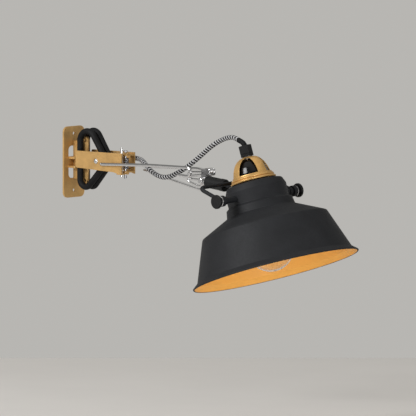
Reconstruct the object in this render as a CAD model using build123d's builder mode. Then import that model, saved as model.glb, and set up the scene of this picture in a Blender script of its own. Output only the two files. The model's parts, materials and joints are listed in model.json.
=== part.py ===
from build123d import *
from math import acos, cos, pi, radians, sin, sqrt, tan
import os

os.makedirs("parts", exist_ok=True)

# A wall lamp held by a spring clamp. A wall plate carries an upright tongue. The clamp grips it with
# two rubber sleeved wire loops on two gold jaw strips that turn on an upright pivot pin. The far jaw
# stands still and its wire handle carries the swivel, the yoke and the shade.
# Frame: origin at the centre of the wall plate's back face, +X out of the wall along the arm, +Z up.
# The near side is -Y and the far side is +Y. All sizes are millimetres.

NEAR = -1
FAR = 1
NAMES = {NEAR: "near", FAR: "far"}
ENDS = {NEAR: "left", FAR: "right"}

# ---- clearances ----
running_fit = 0.05  # radial, between a turning shaft and its hole
touch_gap = 0.3  # between curved faces of pieces that move apart
screw_clear = 0.25  # radial, round a screw in its hole

# ---- wall plate ----
plate_t = 2.5
plate_w = 36.0
plate_h = 90.0
plate_corner_r = 7.0
screw_spacing = 72.0
screw_hole_r = 2.25
window_w = 20.0
window_h = 13.5
window_corner_r = 5.5
window_z = 7.0  # inner edge of each window, above and below the centre
tab_reach = 11.0  # how far the bent tabs stand out of the plate
grommet_y = 12.8
grommet_z = 0.5
grommet_hole_r = 4.0
grommet_lip = 0.9

# ---- tongue that the clamp grips ----
tongue_t = 3.6
tongue_sheet = 1.2
tongue_reach = 28.5
tongue_top = 27.0
tongue_bottom = -21.0
eye_r = 4.5
eye_bore_r = 2.5

# ---- wire loops with rubber sleeves ----
sleeve_r = 3.9
loop_wire_r = 2.2
loop_back_x = 19.5  # centreline of the upright side
loop_top = 66.8  # sharp corners of the triangle, before rounding
loop_bottom = -43.9
loop_top_r = 12.8
loop_bottom_r = 9.5
loop_tip_x = 62.0
loop_tip_z = 4.7
loop_tip_gap = 9.0  # between the two wire ends
loop_tip_r = 5.0
loop_end_x = 78.5  # where the straight wire ends stop, inside the anchor
loop_y = tongue_t / 2 + touch_gap + sleeve_r  # at the upright side, which grips the tongue
loop_tip_y = sleeve_r + 0.4  # at the tip, where the two loops come close
sleeve_end_share = 0.07  # of each slanted leg that stays bare next to its end

# ---- jaw strips ----
strip_t = 1.9
strip_gap = 2.1  # from the sleeve to the strip
strip_y = loop_y + sleeve_r + strip_gap  # inner face
strip_x0 = {NEAR: 19.0, FAR: 21.5}
strip_x1 = {NEAR: 101.0, FAR: 98.0}
strip_top0 = 16.0
strip_top1 = 17.2
strip_low0 = -5.3
strip_low_kink = -7.0
strip_low1 = -9.9
strip_kink_x = 86.0
screw_x = 56.0
screw_z = 5.0
screw_r = 1.5
screw_head_r = 2.9
screw_head_h = 1.9
nut_h = 2.2
nut_r = 2.9
anchor_len = 8.0
anchor_wall = 3.2
anchor_lip = 1.2  # of the anchor, beyond the wire
strip_corner_r = 1.5

# ---- pivot ----
pivot_x = 94.5
pin_r = 1.6
pin_top = 20.0
pin_bottom = -15.7
pin_head_r = 2.7
pin_head_h = 1.6
ear_t = 1.8
ear_r = 5.0
ear_gap = 0.3
post_r = 1.5
post_x = 97.0
post_y = -9.6
post_top = 24.0
post_bottom = -12.0

# ---- torsion spring on the pivot pin ----
spring_wire_r = 0.8
spring_mean_r = 3.8
spring_pitch = 2.2
spring_turns = 6.0

# ---- wire handles ----
handle_r = {NEAR: 2.0, FAR: 1.7}
handle_y = {side: strip_y + strip_t + handle_r[side] + 0.1 for side in (NEAR, FAR)}
hook_x = 66.0
hook_z = 2.0
hook_depth = 3.0
near_handle_xz = [(hook_x, hook_z), (154.0, 6.3), (226.0, 7.8), (226.0, -3.5), (204.0, -2.6)]
near_bends = [2.1, 60.0, 5.4, 5.4]
far_handle_xz = [(hook_x, hook_z), (118.0, 0.2), (208.0, 3.8), (238.0, 0.8), (213.0, -23.0)]
far_bends = [2.1, 60.0, 25.0, 6.0, 6.0]
far_return_x = 112.0
far_return_z = -4.4

# ---- clamp block and tilt bolt at the end of the far handle ----
tilt_x = 232.0
tilt_z = -9.0
clamp_x0 = 225.5
clamp_x1 = 234.5
clamp_low = -3.2
clamp_high = 5.0
lug_y0 = 3.5
lug_y1 = 8.5
lug_r = 5.0
clamp_wall = 2.6  # block outside the handle wire
clamp_bevel = 1.2
bolt_r = 2.0
bolt_head_r = 4.2
bolt_head_h = 2.6
bolt_nut_h = 3.2
bolt_tail = 2.0

# ---- wire shackles beside the clamp block ----
shackle_r = 1.5
outer_shackle_xz = [(229.0, 1.2), (199.5, -0.6), (199.0, -12.2), (221.0, -17.6), (229.6, -11.5)]
outer_bends = [4.6, 4.6, 5.0]
inner_shackle_xz = [(229.0, -2.1), (204.5, -5.0), (204.5, -8.6), (228.4, -9.0)]
inner_bends = [1.75, 1.75]
outer_shackle_y = 6.8
inner_shackle_y = 5.4

# ---- swivel barrel ----
droop = 5.0  # degrees that the barrel's axis drops towards the shade
eye_half = 3.0
swivel_eye_r = 5.0
collar_at = 6.6
collar_t = 2.0
collar_r = 6.2
barrel_at = collar_at + collar_t
barrel_r = 7.5
barrel_len = 33.0
barrel_round = 2.6
cap_len = 8.0
stem_r = 2.4
stem_depth = 22.0  # of the stem inside the barrel
stem_straight = 4.5  # of the stem outside the barrel, before it bends up to the yoke
stem_bend_r = 8.0
cap_gap = 0.35

# ---- yoke ----
yoke_r = 2.5
yoke_clear = 0.9  # between the bar and the shade's neck, as the shade swings past it
yoke_rise = 19.0  # degrees that the yoke's arms rise from the knobs to the bar
yoke_half = 63.0
yoke_corner_r = 11.0
eyelet_r = 6.9
eyelet_t = 5.4

# ---- shade, in its own axes: r from its axis and h above the rim ----
knob_x = 328.0
knob_z = -21.8
shade_tilt = 18.0  # degrees that the opening leans away from the wall
head_turn = 2.0  # degrees that the yoke stands turned on the swivel
knob_h = 96.5
shade_t = 1.0
rim_bead_r = 1.1
rim_r = 105.2
skirt_low = (99.2, 7.5)
skirt_high = (80.0, 58.9)
shoulder_high = (43.8, 76.7)
neck_low = (42.2, 86.2)
neck_groove = (38.6, 89.0)
neck_mid = (38.9, 105.0)
neck_high = (35.4, 113.0)
neck_lip = (22.5, 115.3)
shade_bends = [2.0, 4.0, 3.0, 1.5, 1.5, 2.5, 2.5]

# ---- gallery dome ----
dome_t = 1.2
dome_profile = [(28.8, 116.8), (26.2, 117.0), (25.4, 120.8), (24.7, 125.8), (21.8, 134.3), (16.8, 141.8),
                (10.5, 146.5), (4.0, 147.4)]
dome_bends = [1.0, 1.5, 12.0, 14.0, 10.0, 4.0]
dome_hole_r = 5.6  # for the nipple
window_half = 11.8
window_foot = 122.8
window_spring = 128.5
window_apex = 143.6
window_azimuth = -57.0
window_count = 4
window_cut_from = 12.0  # from the dome's axis, so that opposite cuts don't meet

# ---- lamp holder and bulb ----
holder_r = 17.0
holder_skirt_r = 19.4
holder_low = 80.0
holder_skirt_h = 97.0
holder_high = 136.3
holder_bevel = 5.0
holder_slope = 2.4  # height of the skirt's sloping shoulder
holder_bore_r = 14.0
holder_bore_top = 107.5
holder_ring_r = 21.2
holder_ring_h = 5.0
holder_ring_down = 4.5  # from the skirt's top to the ring
nipple_r = 5.0
nipple_bore_r = 3.4
nipple_low = 132.3
nipple_high = 153.0
gland_nut_r = 8.0
gland_nut_h = 3.0
bulb_r = 30.0
bulb_wall = 0.8
bulb_hip_r = 24.6
bulb_hip_h = 48.5
bulb_neck_r = 12.6
bulb_neck_h = 79.0
cap_r = 13.2
cap_fit = 0.1
bulb_cap_top = 101.5
contact_r = 5.0
bulb_top = 104.5
filament_r = 0.9
filament_len = 42.5
filament_circle = 4.0
filament_stem_r = 5.0
filament_stem_len = 11.0
filament_seat = 2.0  # of the stem inside the bulb's cap
filament_count = 4

# ---- gland and cord sleeve ----
gland_r = 8.0
gland_low = 147.7
gland_high = 157.7
gland_cap_high = 161.7
gland_cap_bevel = 0.7
sleeve_bend_up = 2.9  # from the gland cap's top to the sleeve's bend
sleeve_bend_r = 5.5
cord_r = 3.0
sleeve_fit_r = 3.8

# ---- knobs, by distance from the lamp's middle plane ----
bush_r = 4.0
bush_in = 33.0
bush_flange_r = 6.4
bush_flange_t = 2.2
bush_collar_in = 55.0
bush_collar_r = 4.9
bush_reach = 12.0  # of the hole for the bush, through the neck's wall
shank_r = 2.0
shank_in = 37.0
washer_r = 6.8
washer_t = 1.2
knob_r = 8.8
knob_len = 3.6
knob_hub_r = 5.2
knob_hub_len = 2.9
knob_bevel = 0.8

# ---- derived places ----
strip_outer = strip_y + strip_t
eyelet_in = yoke_half - eyelet_t / 2
eyelet_out = yoke_half + eyelet_t / 2
bush_collar_out = eyelet_in - touch_gap
washer_in = eyelet_out + 0.05
washer_out = washer_in + washer_t
hub_in = washer_out + touch_gap
knob_in = hub_in + knob_hub_len

shade_up = Vector(-sin(radians(shade_tilt)), 0, cos(radians(shade_tilt)))
shade_out = Vector(cos(radians(shade_tilt)), 0, sin(radians(shade_tilt)))
rim_centre = Vector(knob_x, 0, knob_z) - shade_up * knob_h
swivel_dir = Vector(cos(radians(droop)), 0, -sin(radians(droop)))
tilt_centre = Vector(tilt_x, 0, tilt_z)
knob_centre = Vector(knob_x, 0, knob_z)

# the bar of the yoke clears the widest corner of the neck, wherever the shade swings
neck_reach = sqrt(neck_high[0] ** 2 + (neck_high[1] - knob_h) ** 2)
yoke_reach = neck_reach + yoke_clear + yoke_r
arm_dir = Vector(cos(radians(yoke_rise)), 0, -sin(radians(yoke_rise)))
bar_middle = knob_centre - arm_dir * yoke_reach

# section plane of the shade: local x is r, local y is h
shade_section = Plane(origin=rim_centre, x_dir=shade_out, z_dir=Vector(0, -1, 0))
shade_axis = Axis(rim_centre, shade_up)


def shade_level(h, azimuth=0.0):
    """Plane across the shade's axis at height h, its x axis turned to an azimuth."""
    a = radians(azimuth)
    side = shade_out * cos(a) + Vector(0, 1, 0) * sin(a)
    return Plane(origin=rim_centre + shade_up * h, x_dir=side, z_dir=shade_up)


def swivel_level(s):
    """Plane across the swivel's axis, at a distance s from the tilt bolt."""
    return Plane(origin=tilt_centre + swivel_dir * s, x_dir=Vector(0, 1, 0), z_dir=swivel_dir)


def knob_level(side, distance):
    """Plane across the knobs' axis, facing outwards on its side."""
    return Plane(origin=(knob_x, side * distance, knob_z), x_dir=(1, 0, 0), z_dir=(0, side, 0))


def head_point(point):
    """A point of the yoke or the shade, where the turn on the swivel takes it."""
    return tilt_centre + (point - tilt_centre).rotate(Axis((0, 0, 0), swivel_dir), head_turn)


def save(piece, name, turn=0.0):
    shape = piece.part.rotate(Axis(tilt_centre, swivel_dir), turn) if turn else piece.part
    shape.label = name
    export_step(shape, f"parts/{name}.step")


def swept_wire(points, radii, wire_r):
    """A round wire along straight runs joined by arcs."""
    with BuildPart() as piece:
        with BuildLine() as route:
            FilletPolyline(*points, radius=radii)
        start = route.wire().position_at(0)
        heading = route.wire().tangent_at(0)
        with BuildSketch(Plane(origin=start, z_dir=heading)):
            Circle(wire_r)
        sweep()
    return piece


# ================= wall plate and tongue =================

with BuildPart() as wall_plate:
    with BuildSketch(Plane.YZ):
        RectangleRounded(plate_w, plate_h, plate_corner_r)
        with GridLocations(0, screw_spacing, 1, 2):
            Circle(screw_hole_r, mode=Mode.SUBTRACT)
        with Locations((grommet_y, grommet_z)):
            Circle(grommet_hole_r, mode=Mode.SUBTRACT)
    extrude(amount=plate_t)
    for up in (1, -1):
        with BuildSketch(Plane.YZ) as opening:
            with Locations((0, up * (window_z + window_h / 2))):
                Rectangle(window_w, window_h)
            outer = opening.vertices().group_by(Axis.Y)[-1 if up > 0 else 0]
            fillet(outer, window_corner_r)
        extrude(amount=plate_t, mode=Mode.SUBTRACT)
        # the sheet from the window is bent out as two tabs, one on each side of the tongue
        tab_y0 = tongue_t / 2 + touch_gap
        tab_y1 = window_w / 2
        tab_w = tab_y1 - tab_y0
        for side in (NEAR, FAR):
            middle = (plate_t, side * (tab_y0 + tab_w / 2), up * (window_z - plate_t / 2))
            with Locations(middle):
                Box(tab_reach, tab_w, plate_t, align=(Align.MIN, Align.CENTER, Align.CENTER))
    free_ends = wall_plate.edges().filter_by(Axis.Z).group_by(Axis.X)[-1]
    fillet(free_ends, 1.8)
save(wall_plate, "wall_plate")

with BuildPart() as grip_tongue:
    tongue_depth = tongue_reach - plate_t
    tongue_h = tongue_top - tongue_bottom
    centre = (plate_t + tongue_depth / 2, 0, (tongue_top + tongue_bottom) / 2)
    with Locations(centre):
        Box(tongue_depth, tongue_t, tongue_h)
    fillet(grip_tongue.edges().filter_by(Axis.Z).group_by(Axis.X)[-1], 1.2)
    eyes = [(tongue_reach - eye_r, tongue_top + 1.3), (tongue_reach - eye_r - 1.0, tongue_bottom - 1.5)]
    with BuildSketch(Plane.XZ.offset(-tongue_t / 2)):
        with Locations(*eyes):
            Circle(eye_r)
    extrude(amount=tongue_t)
    hollow = (plate_t + (tongue_depth - tongue_sheet) / 2, 0, centre[2])
    with Locations(hollow):
        Box(tongue_depth - tongue_sheet, tongue_t - 2 * tongue_sheet, tongue_h, mode=Mode.SUBTRACT)
    with BuildSketch(Plane.XZ.offset(-tongue_t / 2)):
        with Locations(*eyes):
            Circle(eye_bore_r)
    extrude(amount=tongue_t, mode=Mode.SUBTRACT)
save(grip_tongue, "grip_tongue")

with BuildPart() as wall_grommet:
    with BuildSketch(Plane.YZ):
        with Locations((grommet_y, grommet_z)):
            Circle(grommet_hole_r - running_fit)
    extrude(amount=plate_t)
    with BuildSketch(Plane.YZ.offset(plate_t)):
        with Locations((grommet_y, grommet_z)):
            Circle(grommet_hole_r + grommet_lip)
    extrude(amount=grommet_lip)
    fillet(wall_grommet.edges().group_by(Axis.X)[-1], grommet_lip * 0.6)
save(wall_grommet, "wall_grommet")

# ================= jaws =================


def loop_point(side, x, z):
    """A point of a loop, whose plane leans in from the tongue towards the tip."""
    share = (x - loop_back_x) / (loop_tip_x - loop_back_x)
    return Vector(x, side * (loop_y + (loop_tip_y - loop_y) * share), z)


def loop_points(side, with_ends):
    """Corners of one wire loop, from its upper end round to its lower end."""
    upper = loop_point(side, loop_tip_x, loop_tip_z + loop_tip_gap / 2)
    lower = loop_point(side, loop_tip_x, loop_tip_z - loop_tip_gap / 2)
    top = loop_point(side, loop_back_x, loop_top)
    bottom = loop_point(side, loop_back_x, loop_bottom)
    if not with_ends:
        return [upper + (top - upper) * sleeve_end_share, top, bottom, lower + (bottom - lower) * sleeve_end_share]
    ends = Vector(loop_end_x - loop_tip_x, 0, 0)
    return [upper + ends, upper, top, bottom, lower, lower + ends]


def loop_wire(side):
    return swept_wire(loop_points(side, True), [loop_tip_r, loop_top_r, loop_bottom_r, loop_tip_r], loop_wire_r)


def loop_sleeve(side):
    points = loop_points(side, False)
    with BuildPart() as piece:
        with BuildLine() as route:
            FilletPolyline(*points, radius=[loop_top_r, loop_bottom_r])
        start = route.wire().position_at(0)
        heading = route.wire().tangent_at(0)
        with BuildSketch(Plane(origin=start, z_dir=heading)):
            Circle(sleeve_r)
            Circle(loop_wire_r + running_fit, mode=Mode.SUBTRACT)
        sweep()
    return piece


def loop_anchor(side, wire):
    """Block that ties the two wire ends to the strip's inner face."""
    high = loop_tip_gap + 2 * (loop_wire_r + anchor_wall / 2)
    thick = strip_y - (loop_tip_y - loop_wire_r - anchor_lip)
    with BuildPart() as piece:
        with Locations((loop_end_x - anchor_len, side * strip_y, loop_tip_z)):
            inward = Align.MAX if side > 0 else Align.MIN
            Box(anchor_len, thick, high, align=(Align.MIN, inward, Align.CENTER))
        chamfer(piece.edges().filter_by(Axis.Z).group_by(Axis.Y)[0 if side > 0 else -1], anchor_lip * 0.7)
        add(wire.part, mode=Mode.SUBTRACT)
    return piece


def jaw_strip(side):
    """Flat sheet strip with two ears folded inwards round the pivot pin."""
    x0 = strip_x0[side]
    x1 = strip_x1[side]
    face = Plane.XZ.offset(-side * strip_y)
    ear_low = {NEAR: strip_low1, FAR: strip_low1 + ear_t + ear_gap}[side]
    ear_high = {NEAR: strip_top1, FAR: strip_top1 - ear_t - ear_gap}[side]
    with BuildPart() as piece:
        with BuildSketch(face):
            with BuildLine():
                Polyline(
                    (x0, strip_top0),
                    (x1, strip_top1),
                    (x1, strip_low1),
                    (strip_kink_x, strip_low_kink),
                    (x0, strip_low0),
                    close=True,
                )
            make_face()
            fillet(vertices().group_by(Axis.X)[0], strip_corner_r)
            with Locations((screw_x, screw_z)):
                Circle(screw_r + screw_clear, mode=Mode.SUBTRACT)
            with Locations((hook_x, hook_z)):
                Circle(handle_r[side] + screw_clear, mode=Mode.SUBTRACT)
        extrude(amount=-side * strip_t)
        for level in (ear_low, ear_high - ear_t):
            with BuildSketch(Plane.XY.offset(level)):
                with Locations((pivot_x, side * strip_y / 2)):
                    Rectangle(2 * ear_r - 2.0, strip_y)
                with Locations((pivot_x, 0)):
                    Circle(ear_r - 0.6)
                with Locations((pivot_x, 0)):
                    Circle(pin_r + running_fit, mode=Mode.SUBTRACT)
                if side == NEAR:
                    with Locations((post_x, post_y)):
                        Circle(post_r + running_fit, mode=Mode.SUBTRACT)
            extrude(amount=ear_t)
    return piece


def strip_screw(side):
    """Domed screw through the strip, seen on its outer face."""
    with BuildPart() as piece:
        outer_face = Plane(origin=(screw_x, side * strip_outer, screw_z), x_dir=(1, 0, 0), z_dir=(0, side, 0))
        with BuildSketch(outer_face):
            Circle(screw_head_r)
        extrude(amount=screw_head_h)
        fillet(piece.edges().sort_by(Axis.Y)[-1 if side > 0 else 0], screw_head_h * 0.8)
        with BuildSketch(outer_face):
            Circle(screw_r)
        extrude(amount=-(strip_t + nut_h + 0.6))
    return piece


def strip_nut(side):
    inner_face = Plane(origin=(screw_x, side * strip_y, screw_z), x_dir=(1, 0, 0), z_dir=(0, -side, 0))
    with BuildPart() as piece:
        with BuildSketch(inner_face):
            RegularPolygon(nut_r, 6)
            Circle(screw_r + running_fit, mode=Mode.SUBTRACT)
        extrude(amount=nut_h)
    return piece


for side in (NEAR, FAR):
    wire = loop_wire(side)
    save(wire, NAMES[side] + "_loop_wire")
    save(loop_sleeve(side), NAMES[side] + "_loop_sleeve")
    save(loop_anchor(side, wire), NAMES[side] + "_loop_anchor")
    save(jaw_strip(side), NAMES[side] + "_jaw_strip")
    save(strip_screw(side), NAMES[side] + "_strip_screw")
    save(strip_nut(side), NAMES[side] + "_strip_nut")

# ================= pivot pin, post and torsion spring =================

with BuildPart() as pivot_pin:
    with BuildSketch(Plane.XY.offset(pin_bottom)):
        with Locations((pivot_x, 0)):
            Circle(pin_r)
    extrude(amount=pin_top - pin_bottom)
    with BuildSketch(Plane.XY.offset(pin_top - pin_head_h)):
        with Locations((pivot_x, 0)):
            Circle(pin_head_r)
    extrude(amount=pin_head_h)
    fillet(pivot_pin.edges().group_by(Axis.Z)[-1], 0.7)
    chamfer(pivot_pin.edges().group_by(Axis.Z)[0], 0.5)
save(pivot_pin, "pivot_pin")

with BuildPart() as spring_post:
    with BuildSketch(Plane.XY.offset(post_bottom)):
        with Locations((post_x, post_y)):
            Circle(post_r)
    extrude(amount=post_top - post_bottom)
    fillet(spring_post.edges().group_by(Axis.Z)[-1], 0.6)
save(spring_post, "spring_post")


def arc_middle(start, end, heading):
    """Middle point of the arc that leaves start along heading and reaches end."""
    chord = end - start
    along = chord.normalized()
    across = heading - along * heading.dot(along)
    if across.length < 1e-9:
        return None
    turn = acos(max(-1.0, min(1.0, heading.normalized().dot(along))))
    return start + chord * 0.5 + across.normalized() * (chord.length / 2 * tan(turn / 2))


def biarc(start, start_dir, end, end_dir):
    """Two tangent arcs between two points with given headings."""
    v = end - start
    t = start_dir + end_dir
    square = 2 * (1 - start_dir.dot(end_dir))
    reach = (-v.dot(t) + sqrt(v.dot(t) ** 2 + square * v.dot(v))) / square
    joint = (start + end + (start_dir - end_dir) * reach) * 0.5
    first = ThreePointArc(start, arc_middle(start, joint, start_dir), joint)
    back = arc_middle(end, joint, end_dir * -1)
    second = ThreePointArc(joint, back, end)
    return first, second


def helix_point(turn):
    a = 2 * pi * turn + pi
    return Vector(pivot_x + spring_mean_r * cos(a), spring_mean_r * sin(a), spring_low + spring_pitch * turn)


def helix_heading(turn):
    a = 2 * pi * turn + pi
    return Vector(-sin(a) * spring_mean_r * 2 * pi, cos(a) * spring_mean_r * 2 * pi, spring_pitch).normalized()


spring_middle = (strip_top1 + strip_low1) / 2
spring_leg = strip_y - touch_gap  # from the coil to a strip's inner face
spring_low = spring_middle - spring_pitch * spring_turns / 2
quarter = 0.25
steps = int(round(spring_turns / quarter))
with BuildPart() as torsion_spring:
    with BuildLine() as coil:
        first = helix_point(0) - helix_heading(0) * spring_leg
        Line(first, helix_point(0))
        for step in range(steps):
            a = step * quarter
            b = a + quarter
            biarc(helix_point(a), helix_heading(a), helix_point(b), helix_heading(b))
        last = helix_point(spring_turns)
        Line(last, last + helix_heading(spring_turns) * spring_leg)
    coil_wire = coil.wire()
    with BuildSketch(Plane(origin=coil_wire.position_at(0), z_dir=coil_wire.tangent_at(0))):
        Circle(spring_wire_r)
    sweep()
save(torsion_spring, "torsion_spring")
print("torsion spring: gap between turns", round(spring_pitch - 2 * spring_wire_r, 2), "mm")

# ================= wire handles, clamp block and shackles =================


def handle_points(side, corners):
    y = side * handle_y[side]
    hook = Vector(hook_x, side * (strip_y - hook_depth), hook_z)
    return [hook] + [Vector(x, y, z) for x, z in corners]


near_handle = swept_wire(handle_points(NEAR, near_handle_xz), near_bends, handle_r[NEAR])
save(near_handle, "near_handle")
far_corners = far_handle_xz + [(far_return_x, far_return_z)]
far_handle = swept_wire(handle_points(FAR, far_corners), far_bends, handle_r[FAR])
save(far_handle, "far_handle")


def shackle(corners, bends, y):
    return swept_wire([Vector(x, y, z) for x, z in corners], bends, shackle_r)


outer_shackle = shackle(outer_shackle_xz, outer_bends, outer_shackle_y)
save(outer_shackle, "outer_shackle")
inner_shackle = shackle(inner_shackle_xz, inner_bends, inner_shackle_y)
save(inner_shackle, "inner_shackle")

with BuildPart() as arm_clamp:
    clamp_y1 = handle_y[FAR] + handle_r[FAR] + clamp_wall
    with Locations(((clamp_x0 + clamp_x1) / 2, lug_y0, (clamp_low + clamp_high) / 2)):
        Box(
            clamp_x1 - clamp_x0,
            clamp_y1 - lug_y0,
            clamp_high - clamp_low,
            align=(Align.CENTER, Align.MIN, Align.CENTER),
        )
    chamfer(arm_clamp.edges().filter_by(Axis.Y), clamp_bevel)
    with BuildSketch(Plane.XZ.offset(-lug_y0)):
        with Locations((tilt_x, tilt_z)):
            Circle(lug_r)
        arm_low = tilt_z
        with Locations(((clamp_x0 + tilt_x + 1.2) / 2, (arm_low + clamp_low) / 2 + 0.5)):
            Rectangle(tilt_x + 1.2 - clamp_x0, clamp_low - arm_low + 1.0)
    extrude(amount=-(lug_y1 - lug_y0))
    with BuildSketch(Plane.XZ.offset(-lug_y0)):
        with Locations((tilt_x, tilt_z)):
            Circle(bolt_r + running_fit)
    extrude(amount=-(lug_y1 - lug_y0), mode=Mode.SUBTRACT)
    for wire in (far_handle, outer_shackle, inner_shackle):
        add(wire.part, mode=Mode.SUBTRACT)
save(arm_clamp, "arm_clamp")

with BuildPart() as tilt_bolt:
    head_face = Plane(origin=(tilt_x, -eye_half - touch_gap, tilt_z), x_dir=(1, 0, 0), z_dir=(0, 1, 0))
    with BuildSketch(head_face):
        Circle(bolt_r)
    extrude(amount=lug_y1 + bolt_nut_h + bolt_tail + eye_half + touch_gap)
    with BuildSketch(head_face):
        Circle(bolt_head_r)
    extrude(amount=-bolt_head_h)
    fillet(tilt_bolt.edges().group_by(Axis.Y)[0], bolt_head_h * 0.7)
save(tilt_bolt, "tilt_bolt")

with BuildPart() as tilt_nut:
    with BuildSketch(Plane(origin=(tilt_x, lug_y1, tilt_z), x_dir=(1, 0, 0), z_dir=(0, 1, 0))):
        RegularPolygon(bolt_head_r, 6)
        Circle(bolt_r + running_fit, mode=Mode.SUBTRACT)
    extrude(amount=bolt_nut_h)
save(tilt_nut, "tilt_nut")

# ================= swivel =================

with BuildPart() as swivel_eye:
    with BuildSketch(Plane.XZ.offset(-eye_half)):
        with Locations((tilt_x, tilt_z)):
            Circle(swivel_eye_r)
    extrude(amount=2 * eye_half)
    with BuildSketch(swivel_level(0)):
        Rectangle(2 * eye_half, 2 * eye_half)
    extrude(amount=collar_at + 0.5)
    with BuildSketch(swivel_level(collar_at)):
        Circle(collar_r)
    extrude(amount=collar_t)
    with BuildSketch(Plane.XZ.offset(-eye_half)):
        with Locations((tilt_x, tilt_z)):
            Circle(bolt_r + running_fit)
    extrude(amount=2 * eye_half, mode=Mode.SUBTRACT)
save(swivel_eye, "swivel_eye")

with BuildPart() as swivel_barrel:
    with BuildSketch(swivel_level(barrel_at)):
        Circle(barrel_r)
    extrude(amount=barrel_len - cap_len)
    fillet(swivel_barrel.edges().group_by(Axis.X)[0], 0.8)
    with BuildSketch(swivel_level(barrel_at + barrel_len - cap_len)):
        Circle(stem_r + running_fit)
    extrude(amount=-(stem_depth - cap_len + 1.0), mode=Mode.SUBTRACT)
save(swivel_barrel, "swivel_barrel")

with BuildPart() as barrel_cap:
    with BuildSketch(swivel_level(barrel_at + barrel_len - cap_len)):
        Circle(barrel_r + cap_gap)
    extrude(amount=cap_len)
    fillet(barrel_cap.edges().sort_by(Axis.X)[-1], barrel_round)
    with BuildSketch(swivel_level(barrel_at + barrel_len - cap_len)):
        Circle(stem_r + running_fit)
    extrude(amount=cap_len, mode=Mode.SUBTRACT)
save(barrel_cap, "barrel_cap")

# ================= yoke =================

with BuildPart() as yoke_rod:
    arm_end = knob_centre - arm_dir * (eyelet_r - 1.0)
    u_points = [
        arm_end + Vector(0, -yoke_half, 0),
        bar_middle + Vector(0, -yoke_half, 0),
        bar_middle + Vector(0, yoke_half, 0),
        arm_end + Vector(0, yoke_half, 0),
    ]
    with BuildLine() as u_route:
        FilletPolyline(*u_points, radius=yoke_corner_r)
    u_wire = u_route.wire()
    with BuildSketch(Plane(origin=u_wire.position_at(0), z_dir=u_wire.tangent_at(0))):
        Circle(yoke_r)
    sweep()
    for side in (NEAR, FAR):
        with BuildSketch(knob_level(side, eyelet_in)):
            Circle(eyelet_r)
        extrude(amount=eyelet_t)
    for side in (NEAR, FAR):
        with BuildSketch(knob_level(side, eyelet_in)):
            Circle(shank_r + running_fit)
        extrude(amount=eyelet_t, mode=Mode.SUBTRACT)
save(yoke_rod, "yoke_rod", head_turn)

stem_start = tilt_centre + swivel_dir * (barrel_at + barrel_len - stem_depth)
stem_bend = tilt_centre + swivel_dir * (barrel_at + barrel_len + stem_straight)
yoke_stem = swept_wire([stem_start, stem_bend, bar_middle], [stem_bend_r], stem_r)
with yoke_stem:
    add(yoke_rod.part, mode=Mode.SUBTRACT)
save(yoke_stem, "yoke_stem", head_turn)

for side in (NEAR, FAR):
    with BuildPart() as washer:
        with BuildSketch(knob_level(side, washer_in)):
            Circle(washer_r)
            Circle(shank_r + running_fit, mode=Mode.SUBTRACT)
        extrude(amount=washer_t)
        chamfer(washer.edges().group_by(Axis.Y)[-1 if side > 0 else 0].sort_by(Edge.length)[-1], 0.4)
    save(washer, ENDS[side] + "_washer", head_turn)

# ================= shade =================

shade_line = [(rim_r, 1.2), skirt_low, skirt_high, shoulder_high, neck_low, neck_groove, neck_mid, neck_high,
              neck_lip]
with BuildPart() as shade:
    with BuildSketch(shade_section):
        with BuildLine():
            FilletPolyline(*shade_line, radius=shade_bends)
            offset(amount=shade_t, side=Side.LEFT)
        make_face()
        with Locations((rim_r, rim_bead_r)):
            Circle(rim_bead_r)
    revolve(axis=shade_axis)
    for side in (NEAR, FAR):
        with BuildSketch(knob_level(side, bush_in)):
            Circle(bush_r + running_fit)
        extrude(amount=bush_reach, mode=Mode.SUBTRACT)
save(shade, "shade", head_turn)

with BuildPart() as dome_gallery:
    with BuildSketch(shade_section):
        with BuildLine():
            FilletPolyline(*dome_profile, radius=dome_bends)
            offset(amount=dome_t, side=Side.LEFT)
        make_face()
    revolve(axis=shade_axis)
    with BuildSketch(shade_level(dome_profile[-1][1] - 3 * dome_t)):
        Circle(dome_hole_r)
    extrude(amount=6 * dome_t, mode=Mode.SUBTRACT)
    window_bulge = (window_half * 0.62, window_apex - 4.2)
    for index in range(window_count + 1):  # all the way round, back to the first window
        base = shade_level(0, window_azimuth + index * 360 / window_count)
        start = base.origin + base.x_dir * window_cut_from
        with BuildSketch(Plane(origin=start, x_dir=base.y_dir, z_dir=base.x_dir)):
            with BuildLine():
                Polyline(
                    (-window_half, window_spring),
                    (-window_half, window_foot),
                    (window_half, window_foot),
                    (window_half, window_spring),
                )
                ThreePointArc((window_half, window_spring), window_bulge, (0, window_apex))
                ThreePointArc((0, window_apex), (-window_bulge[0], window_bulge[1]), (-window_half, window_spring))
            make_face()
        extrude(amount=dome_profile[0][0], mode=Mode.SUBTRACT)
save(dome_gallery, "dome_gallery", head_turn)

for side in (NEAR, FAR):
    with BuildPart() as bush:
        with BuildSketch(knob_level(side, bush_in)):
            Circle(bush_flange_r)
        extrude(amount=bush_flange_t)
        with BuildSketch(knob_level(side, bush_in)):
            Circle(bush_r)
        extrude(amount=bush_collar_in - bush_in)
        with BuildSketch(knob_level(side, bush_collar_in)):
            Circle(bush_collar_r)
        extrude(amount=bush_collar_out - bush_collar_in)
        with BuildSketch(knob_level(side, bush_collar_out)):
            Circle(shank_r + running_fit)
        extrude(amount=-(bush_collar_out - shank_in + 1.0), mode=Mode.SUBTRACT)
    save(bush, ENDS[side] + "_bush", head_turn)

# ================= lamp holder, bulb and gland =================

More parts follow.
